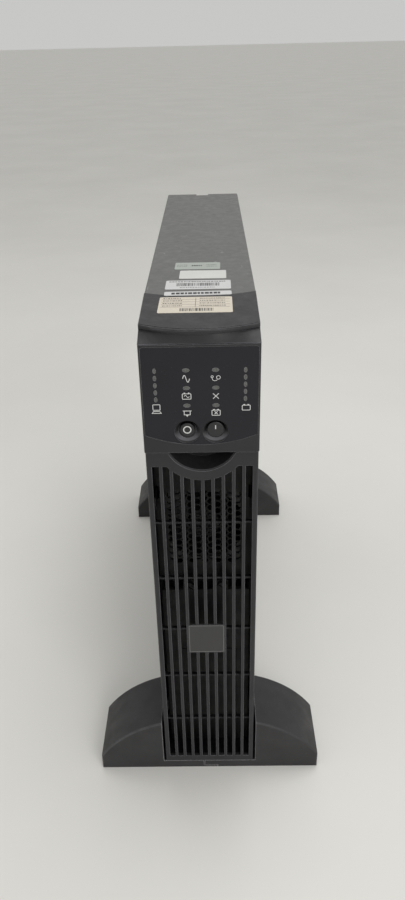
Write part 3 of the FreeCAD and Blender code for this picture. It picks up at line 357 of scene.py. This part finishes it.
def moulded(name, colour, roughness=0.46, edge_wear_and_highlight=0.35, specks=0.0, dust=0.05, specular=0.5,
            edge_mm=0.7, dish_highlights=()):
    """Textured plastic with painted shade in grooves and seams, a painted highlight that partly stands for
    wear on its edges, which are smoother there, and a painted highlight in the button dishes.
    """
    made = Surface(name, roughness, specular=specular)
    cloud = made.noise(34, 4)
    base = made.mix(made.remap(cloud, 0.3, 0.7), shade(colour, 0.88), shade(colour, 1.12))
    if specks:
        spots = made.remap(made.cells(3.4), 0.10, 0.04)
        base = made.mix(made.times(spots, specks), base, shade(DUST, 1.1))
    dusty = made.times(made.upward(), made.remap(made.noise(3, 5), 0.4, 0.75, 0.0, dust))
    base = made.mix(dusty, base, DUST)
    clear = made.open_air(CREVICE_REACH)
    patchy = made.remap(made.noise(11, 3), 0.3, 0.6, 0.5 * edge_wear_and_highlight, edge_wear_and_highlight)
    worn_and_highlit_edge = made.times(made.times(made.edges(edge_mm), patchy), clear)
    # painted shade in grooves and seams
    base = made.mix(clear, shade(colour, CREVICE_SHADE), base)
    # painted highlight along the edges, partly also wear
    base = made.mix(worn_and_highlit_edge, base, shade(colour, EDGE_WEAR_AND_HIGHLIGHT_SHADE))
    # painted highlight on the up-facing lower part of each button's dish
    for x, depth, z in dish_highlights:
        inside = made.near(x, depth, z, HOLLOW_INNER, HOLLOW_OUTER)
        dish_highlight = made.times(inside, made.upward(0.0, 0.6))
        base = made.mix(dish_highlight, base, shade(colour, DISH_HIGHLIGHT_SHADE))
    made.colour(base)
    uneven = made.remap(made.noise(13, 4), 0.3, 0.7, roughness - 0.07, roughness + 0.1)
    polish = made.math("SUBTRACT", 1.0, made.times(worn_and_highlit_edge, WORN_POLISH))
    made.roughness(made.times(uneven, polish))
    made.relief(made.noise(0.6, 2), 0.04, 0.4)
    return made.material


def film(name, colour):
    """Printed plastic film: nearly smooth, with faint finger marks in its gloss."""
    made = Surface(name, 0.34, specular=0.36)
    base = made.mix(made.remap(made.noise(30, 3), 0.3, 0.7), shade(colour, 0.9), shade(colour, 1.12))
    dust = made.remap(made.cells(2.6), 0.07, 0.03, 0.0, 0.25)
    made.colour(made.mix(dust, base, DUST))
    made.roughness(made.remap(made.noise(15, 5, (1.0, 1.0, 0.5)), 0.35, 0.7, 0.30, 0.48))
    made.relief(made.noise(1.6, 2), 0.02, 0.25)
    return made.material


def metal(name, colour, roughness, tarnish, grain=(1, 1, 1)):
    """Bare or plated metal with cloudy tarnish; the grain is drawn out where its factor is small."""
    made = Surface(name, roughness, metallic=1.0)
    cloud = made.remap(made.noise(12, 4), 0.3, 0.7)
    made.colour(made.mix(cloud, shade(colour, 1.0 - tarnish), colour))
    lines = made.noise(0.5, 3, grain)
    made.roughness(made.remap(lines, 0.3, 0.7, roughness - 0.08, roughness + 0.12))
    made.relief(lines, 0.02, 0.3)
    return made.material


def zinc_plate():
    """Zinc-plated sheet: a grey metal with a crystal pattern and a drawn grain."""
    made = Surface("zinc_steel_look", 0.42, metallic=1.0)
    crystals = made.remap(made.cells(7.0), 0.0, 0.9)
    made.colour(made.mix(crystals, (0.50, 0.51, 0.52), (0.66, 0.66, 0.65)))
    made.roughness(made.remap(crystals, 0.0, 1.0, 0.34, 0.52))
    made.relief(made.noise(0.7, 2, (1.0, 0.1, 1.0)), 0.02, 0.25)
    return made.material


def glossy_plastic(name, colour, roughness=0.3, dust=0.1):
    """Smooth plastic of sockets, fans and relays, with a little dust on what faces up."""
    made = Surface(name, roughness)
    base = made.mix(made.remap(made.noise(20, 4), 0.3, 0.7), shade(colour, 0.85), shade(colour, 1.2))
    dusty = made.times(made.upward(), made.remap(made.noise(5, 4), 0.4, 0.75, 0.0, dust))
    made.colour(made.mix(dusty, base, DUST))
    made.roughness(made.remap(made.noise(8, 3), 0.3, 0.7, roughness - 0.06, roughness + 0.1))
    made.relief(made.noise(1.4, 2), 0.03, 0.3)
    return made.material


def circuit_board():
    """Green mask over copper: paler tracks in a rectangular weave, and small bright pads."""
    made = Surface("circuit_board_look", 0.32)
    across = made.remap(made.bands(3.2, "Z", 1.2), 0.78, 0.84)
    along = made.remap(made.bands(5.1, "Y", 1.0), 0.82, 0.88)
    patches = made.remap(made.noise(24, 1), 0.46, 0.52)
    tracks = made.times(made.math("MAXIMUM", across, along), patches)
    base = made.mix(tracks, (0.012, 0.085, 0.030), (0.035, 0.17, 0.06))
    pads = made.remap(made.cells(4.6), 0.16, 0.13)
    made.colour(made.mix(pads, base, (0.50, 0.50, 0.48)))
    made.relief(tracks, 0.05, 0.4)
    return made.material


def winding():
    """Enamelled copper wire wound side by side."""
    made = Surface("winding_look", 0.3, metallic=0.85)
    turns = made.bands(0.9, "Y", 0.4)
    made.colour(made.mix(turns, (0.16, 0.05, 0.016), (0.62, 0.25, 0.09)))
    made.relief(turns, 0.35, 0.9)
    return made.material


def light_lens():
    """Unlit frosted light pipe: cloudy dark grey under a thin clear coat."""
    made = Surface("light_lens_look", 0.28)
    made.shader.inputs["Coat Weight"].default_value = 0.3
    grain = made.noise(0.8, 3)
    made.colour(made.mix(made.remap(grain, 0.35, 0.65), (0.05, 0.05, 0.048), (0.13, 0.13, 0.125)))
    made.relief(grain, 0.03, 0.3)
    return made.material


def paper(name, colour, roughness=0.5):
    """Sticker stock: faint fibre, a little yellowing and rubbed dirt."""
    made = Surface(name, roughness)
    base = made.mix(made.remap(made.noise(14, 4), 0.35, 0.7, 0.0, 0.14), colour, shade(colour, 0.62))
    made.colour(made.mix(made.remap(made.noise(0.7, 3), 0.4, 0.7, 0.0, 0.12), base, (0.42, 0.40, 0.36)))
    made.relief(made.noise(0.5, 2), 0.02, 0.3)
    return made.material


def ink(name, colour):
    """Screen-printed ink, slightly broken up by the surface under it."""
    made = Surface(name, 0.55)
    made.colour(made.mix(made.remap(made.noise(0.6, 3), 0.35, 0.65), shade(colour, 0.82), colour))
    made.relief(made.noise(0.5, 2), 0.01, 0.2)
    return made.material


CASE_GREY = (0.112, 0.112, 0.108)
PLASTIC_GREY = (0.0225, 0.022, 0.024)
FOOT_GREY = (0.034, 0.033, 0.0342)


def button_centre(node):
    """x and z in millimetres and the depth of the button's front face in the frame."""
    low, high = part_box(node)
    return (low.x + high.x) / 2 / MM, low.y, (low.z + high.z) / 2 / MM


def slot_materials():
    """One finish for each material slot of the record."""
    button_hollows = [button_centre("off_button"), button_centre("on_button")]
    return {
        "case_paint": powder_coat("case_paint_look", CASE_GREY, dust=0.12, scratched=0.5),
        "front_plastic": moulded("front_plastic_look", PLASTIC_GREY, edge_wear_and_highlight=0.9, specular=0.36,
                                 edge_mm=0.65, dish_highlights=button_hollows),
        "foot_plastic": moulded("foot_plastic_look", FOOT_GREY, roughness=0.5, edge_wear_and_highlight=1.0, specks=0.25,
                                dust=0.0, specular=0.3, edge_mm=1.3),
        "membrane_film": film("membrane_film_look", (0.0078, 0.0074, 0.0118)),
        "badge": moulded("badge_look", (0.034, 0.034, 0.035), roughness=0.38, edge_wear_and_highlight=0.2),
        "button_plastic": moulded("button_plastic_look", (0.013, 0.013, 0.0145), roughness=0.36,
                                  edge_wear_and_highlight=0.5),
        "light_lens": light_lens(),
        "black_steel": powder_coat("black_steel_look", (0.016, 0.016, 0.0165), dust=0.12),
        "zinc_steel": zinc_plate(),
        "screw_steel": metal("screw_steel_look", (0.60, 0.60, 0.58), 0.3, tarnish=0.25),
        "circuit_board": circuit_board(),
        "battery_case": moulded("battery_case_look", (0.040, 0.040, 0.044), roughness=0.42, edge_wear_and_highlight=0.25),
        "connector_plastic": glossy_plastic("connector_plastic_look", (0.018, 0.018, 0.019)),
        "fan_plastic": glossy_plastic("fan_plastic_look", (0.014, 0.014, 0.015), 0.34, dust=0.3),
        "guard_wire": metal("guard_wire_look", (0.66, 0.66, 0.65), 0.24, tarnish=0.2),
        "heatsink_metal": metal("heatsink_metal_look", (0.74, 0.75, 0.76), 0.36, tarnish=0.15,
                                grain=(1.0, 0.05, 1.0)),
        "capacitor_sleeve": glossy_plastic("capacitor_sleeve_look", (0.010, 0.012, 0.028)),
        "winding": winding(),
        "relay_plastic": glossy_plastic("relay_plastic_look", (0.55, 0.55, 0.52), 0.35),
        "label_paper": paper("label_paper_look", (0.62, 0.60, 0.56)),
    }


def dress_frame(looks):
    """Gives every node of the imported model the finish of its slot."""
    for part in frame["record"]["subparts"]:
        made = frame["nodes"][part["node"]]
        made.data.materials.clear()
        made.data.materials.append(looks[part["material_slot"]])


# ---- symbols on the control panel ----

def battery_outline(bm, cx, cz, half_x, half_z, place):
    add_stroke(bm, rounded(cx, cz, half_x, half_z, 0.5, 2), STROKE, place, closed=True)
    top = cz + half_z + STROKE * 0.5
    for x in (cx - half_x * 0.5, cx + half_x * 0.5):
        bar(bm, place, x - 0.55, x + 0.55, top, top + 0.6)


def wave(cx, cz, half_x, half_z, count=17):
    return [(cx - half_x + 2 * half_x * i / (count - 1),
             cz + half_z * math.sin(2 * math.pi * i / (count - 1))) for i in range(count)]


def cross(bm, cx, cz, half, place):
    """An X made of one long stroke and two short ones that meet it."""
    add_stroke(bm, [(cx - half, cz - half), (cx + half, cz + half)], STROKE, place)
    inner = STROKE * 0.36
    add_stroke(bm, [(cx - half, cz + half), (cx - inner, cz + inner)], STROKE, place)
    add_stroke(bm, [(cx + inner, cz - inner), (cx + half, cz - half)], STROKE, place)


def computer_symbol(bm, cx, cz, place):
    add_stroke(bm, rounded(cx, cz + 1.2, 2.5, 2.1, 0.3, 1), STROKE, place, closed=True)
    keys = [(cx - 2.2, cz - 1.9), (cx + 2.2, cz - 1.9), (cx + 3.2, cz - 3.4), (cx - 3.2, cz - 3.4)]
    add_stroke(bm, keys, STROKE, place, closed=True)


def overload_symbol(bm, cx, cz, place):
    """A wide top bar on two legs over a short arrow that points down."""
    add_stroke(bm, [(cx - 3.1, cz + 1.7), (cx + 3.1, cz + 1.7)], STROKE, place)
    box_line = [(cx - 2.1, cz + 1.4), (cx - 2.1, cz - 1.3), (cx + 2.1, cz - 1.3), (cx + 2.1, cz + 1.4)]
    add_stroke(bm, box_line, STROKE, place)
    add_slab(bm, [(cx - 1.0, cz - 1.6), (cx + 1.0, cz - 1.6), (cx, cz - 2.9)], place)


def bypass_symbol(bm, cx, cz, place):
    """A small circle, a switch curve and a larger circle."""
    fine = STROKE * 0.8
    add_stroke(bm, circle(cx - 2.4, cz + 1.2, 0.75, 14), fine, place, closed=True)
    add_stroke(bm, circle(cx + 1.9, cz + 0.6, 1.3, 18), fine, place, closed=True)
    curve = [(-2.5, 0.1), (-2.0, -1.2), (-0.9, -1.8), (0.5, -1.6), (1.2, -0.9)]
    add_stroke(bm, [(cx + dx, cz + dz) for dx, dz in curve], fine, place)


# two columns of three status lights with a symbol under each, between two columns of five
# level lights with one symbol under each column
STATUS_X = (-9.6, 10.7)
STATUS_Z = (412.4, 399.1, 385.7)
SYMBOL_Z = (406.1, 392.7, 379.8)
LEVEL_X = 31.2
LEVEL_Z = [412.1 - i * 5.4 for i in range(5)]
COMPUTER_X, CHARGE_X = -31.0, 31.8
COLUMN_SYMBOL_Z = 383.4
LEVEL_RIM = (1.05, 1.85)    # half width and half height of the printed rims
STATUS_RIM = (2.35, 1.35)
RIM_STROKE = 0.2


def panel_symbols(white):
    place = printed_on(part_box("panel_membrane")[0].y)
    bm = bmesh.new()
    left, right = STATUS_X
    top, middle, low = SYMBOL_Z
    computer_symbol(bm, COMPUTER_X, COLUMN_SYMBOL_Z, place)
    battery_outline(bm, CHARGE_X, COLUMN_SYMBOL_Z, 2.8, 1.9, place)
    add_stroke(bm, wave(left, top, 2.4, 2.6), STROKE, place)
    battery_outline(bm, left, middle, 3.0, 2.05, place)
    add_stroke(bm, wave(left, middle, 1.8, 0.9, 11), STROKE * 0.8, place)
    overload_symbol(bm, left, low, place)
    bypass_symbol(bm, right, top, place)
    cross(bm, right, middle, 2.0, place)
    battery_outline(bm, right, low, 2.9, 2.0, place)
    cross(bm, right, low, 1.1, place)
    piece("panel_symbols", bm, "control_panel", "membrane_film", white)


def lens_rims(grey):
    """The printed grey rim round each of the sixteen lights."""
    place = printed_on(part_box("panel_membrane")[0].y)
    bm = bmesh.new()
    rims = [(side * LEVEL_X, z, *LEVEL_RIM) for side in (-1, 1) for z in LEVEL_Z]
    rims += [(x, z, *STATUS_RIM) for x in STATUS_X for z in STATUS_Z]
    for cx, cz, half_x, half_z in rims:
        add_stroke(bm, oval(cx, cz, half_x, half_z, 28), RIM_STROKE, place, closed=True)
    piece("lens_rims", bm, "control_panel", "membrane_film", grey)


def button_marks(white):
    """A ring on the off button and a bar on the on button."""
    cx, front, cz = button_centre("off_button")
    bm = bmesh.new()
    add_stroke(bm, circle(cx, cz, 2.6, 32), 0.8, printed_on(front), closed=True)
    piece("off_mark", bm, "off_switch", "button_plastic", white)

    cx, front, cz = button_centre("on_button")
    bm = bmesh.new()
    add_stroke(bm, [(cx, cz + 0.3), (cx, cz + 3.3)], 0.7, printed_on(front))
    piece("on_mark", bm, "on_switch", "button_plastic", white)


def badge_rim(grey):
    """A fine line round the blank badge."""
    low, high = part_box("badge_plate")
    inset = 1.1
    half_x = (high.x - low.x) / 2 / MM - inset
    half_z = (high.z - low.z) / 2 / MM - inset
    cz = (high.z + low.z) / 2 / MM
    bm = bmesh.new()
    add_stroke(bm, rounded(0, cz, half_x, half_z, 0.8), 0.25, printed_on(low.y), closed=True)
    piece("badge_rim", bm, "front_bezel", "badge", grey)


# ---- stickers on the top ----

# x low, x high, depth low, depth high and skew in degrees: the five places in the model
STICKERS = {
    "silver": (-21.6, 16.5, 143.0, 163.5, -1.0),
    "blank": (-17.0, 21.0, 116.0, 139.0, -0.8),
    "coded": (-27.0, 24.0, 88.0, 111.0, -0.6),
    "strip": (-27.0, 24.0, 73.0, 82.5, 0.8),
    "ruled": (-29.8, 23.8, 33.0, 68.5, -0.5),
}


def sticker_place(name, z_low, z_high):
    x0, x1, d0, d1, skew = STICKERS[name]
    return flat((x0 + x1) / 2, GRILLE_Y + (d0 + d1) / 2, skew, z_low, z_high)


def sticker_half(name):
    x0, x1, d0, d1, _ = STICKERS[name]
    return (x1 - x0) / 2, (d1 - d0) / 2


def mark_row(bm, place, rng, u0, u1, v, high, low_width=0.5, high_width=1.5):
    """A row of small plain blocks, where a sticker carries print."""
    u = u0
    while u < u1 - high_width:
        width = rng.uniform(low_width, high_width)
        bar(bm, place, u, u + width, v - high / 2, v + high / 2)
        u += width + rng.uniform(0.35, 0.8)


def barcode(bm, place, rng, u0, u1, v, high):
    u = u0
    while u < u1:
        width = rng.choice((0.3, 0.3, 0.6, 0.9))
        bar(bm, place, u, min(u + width, u1), v - high / 2, v + high / 2)
        u += width + rng.choice((0.3, 0.5, 0.7))


def stickers(papers):
    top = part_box("outer_cover")[1].z
    bm = bmesh.new()
    for index, name in enumerate(STICKERS):
        half_u, half_v = sticker_half(name)
        place = sticker_place(name, top, top + STICKER * MM)
        add_slab(bm, rounded(0, 0, half_u, half_v, 1.5), place, index)
    made = piece("top_stickers", bm, "tower", "label_paper", *[papers[name] for name in STICKERS])
    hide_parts("top_labels")


def sticker_print(dark):
    """Plain blocks, rules and bars that stand for print; nothing in them can be read.

    u runs to the right and v to the back, from the middle of each sticker.
    """
    rng = random.Random(7)
    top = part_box("outer_cover")[1].z + STICKER * MM
    z_low, z_high = (top + side * MM for side in STICKER_INK)
    bm = bmesh.new()
    places = {name: sticker_place(name, z_low, z_high) for name in STICKERS}

    place = places["silver"]
    mark_row(bm, place, rng, -5.0, 5.0, 0.5, 2.8, 1.0, 2.0)
    for side in (-1, 1):
        mark_row(bm, place, rng, side * 12.5 - 5.0, side * 12.5 + 5.0, 2.5, 1.0)
        mark_row(bm, place, rng, side * 12.5 - 5.0, side * 12.5 + 5.0, -2.0, 0.8)

    place = places["coded"]
    mark_row(bm, place, rng, -23.0, 23.0, 8.0, 1.7, 0.8, 2.0)
    barcode(bm, place, rng, -17.0, 17.0, 0.5, 8.0)
    mark_row(bm, place, rng, -14.0, 14.0, -7.2, 1.1)

    place = places["strip"]
    mark_row(bm, place, rng, -20.0, 20.0, 0.0, 4.4, 1.6, 3.2)

    place = places["ruled"]
    for v in (12.0, 6.2, 0.4, -5.4):
        bar(bm, place, -25.0, 25.0, v, v + 0.28)
    bar(bm, place, -0.14, 0.14, -5.3, 16.0)
    for v in (14.4, 9.1, 3.3, -2.5):
        mark_row(bm, place, rng, -24.0, -9.0, v, 1.4)
        mark_row(bm, place, rng, 3.0, 23.0, v, 1.4)
    barcode(bm, place, rng, -11.0, 13.0, -11.2, 6.2)
    piece("sticker_print", bm, "tower", "label_paper", dark)


# ---- surroundings ----

def floor():
    bm = bmesh.new()
    corners = ((-1, -1), (1, -1), (1, 1), (-1, 1))
    bm.faces.new([bm.verts.new((x * FLOOR_HALF_M, y * FLOOR_HALF_M, 0.0)) for x, y in corners])
    mesh = bpy.data.meshes.new("floor")
    bm.to_mesh(mesh)
    bm.free()
    look = Surface("floor_look", 0.55, specular=0.3)
    cloud = look.remap(look.noise(420, 5), 0.3, 0.7)
    look.colour(look.mix(cloud, FLOOR_DARK, FLOOR_PALE))
    look.roughness(look.remap(look.noise(60, 4), 0.3, 0.7, 0.48, 0.62))
    mesh.materials.append(look.material)
    made = bpy.data.objects.new("floor", mesh)
    bpy.context.scene.collection.objects.link(made)


def soft_box(name, place, target, size, watts):
    """A rectangular area light; place, target and size are in metres."""
    data = bpy.data.lights.new(name, "AREA")
    data.shape = "RECTANGLE"
    data.size, data.size_y = size
    data.energy = watts
    made = bpy.data.objects.new(name, data)
    made.location = place
    made.rotation_euler = (Vector(target) - Vector(place)).to_track_quat("-Z", "Y").to_euler()
    bpy.context.scene.collection.objects.link(made)


def lights():
    world = bpy.data.worlds.new("studio")
    world.use_nodes = True
    background = world.node_tree.nodes["Background"]
    background.inputs["Color"].default_value = (0.80, 0.80, 0.79, 1.0)
    background.inputs["Strength"].default_value = 0.72
    bpy.context.scene.world = world
    soft_box("ceiling_light", place=(0.25, 0.20, 2.1), target=(0.0, 0.0, 0.3), size=(1.3, 0.9), watts=13.0)
    soft_box("front_light", place=(0.9, -1.9, 1.2), target=(0.0, 0.0, 0.25), size=(1.0, 0.9), watts=15.0)


def camera():
    data = bpy.data.cameras.new("camera")
    data.sensor_fit = "VERTICAL"
    data.sensor_height = SENSOR_MM
    data.lens = LENS_MM
    data.clip_start = 0.01
    data.clip_end = 200.0
    yaw, pitch, roll = CAMERA_YAW, CAMERA_PITCH, CAMERA_ROLL
    forward = Vector((math.sin(yaw) * math.cos(pitch),
                      math.cos(yaw) * math.cos(pitch),
                      -math.sin(pitch)))
    level = Vector((math.cos(yaw), -math.sin(yaw), 0.0))
    over = level.cross(forward)
    right = level * math.cos(roll) + over * math.sin(roll)
    above = over * math.cos(roll) - level * math.sin(roll)
    made = bpy.data.objects.new("camera", data)
    turned = Matrix((right, above, -forward)).transposed().to_4x4()
    made.matrix_world = Matrix.Translation(Vector(CAMERA_PLACE) * MM) @ turned
    bpy.context.scene.collection.objects.link(made)
    bpy.context.scene.camera = made


def main():
    dress_frame(slot_materials())
    white = ink("white_ink", (0.70, 0.70, 0.69))
    grey = ink("grey_ink", (0.26, 0.26, 0.26))
    panel_symbols(white)
    lens_rims(grey)
    button_marks(white)
    badge_rim(grey)
    stickers({
        "silver": paper("silver_sticker", (0.36, 0.40, 0.36), 0.35),
        "blank": paper("blank_sticker", (0.62, 0.62, 0.60)),
        "coded": paper("coded_sticker", (0.60, 0.60, 0.60)),
        "strip": paper("strip_sticker", (0.62, 0.62, 0.62)),
        "ruled": paper("ruled_sticker", (0.66, 0.60, 0.50), 0.55),
    })
    sticker_print(ink("dark_ink", (0.045, 0.043, 0.042)))
    floor()
    lights()
    camera()
    bpy.context.scene.view_settings.view_transform = "Standard"


main()
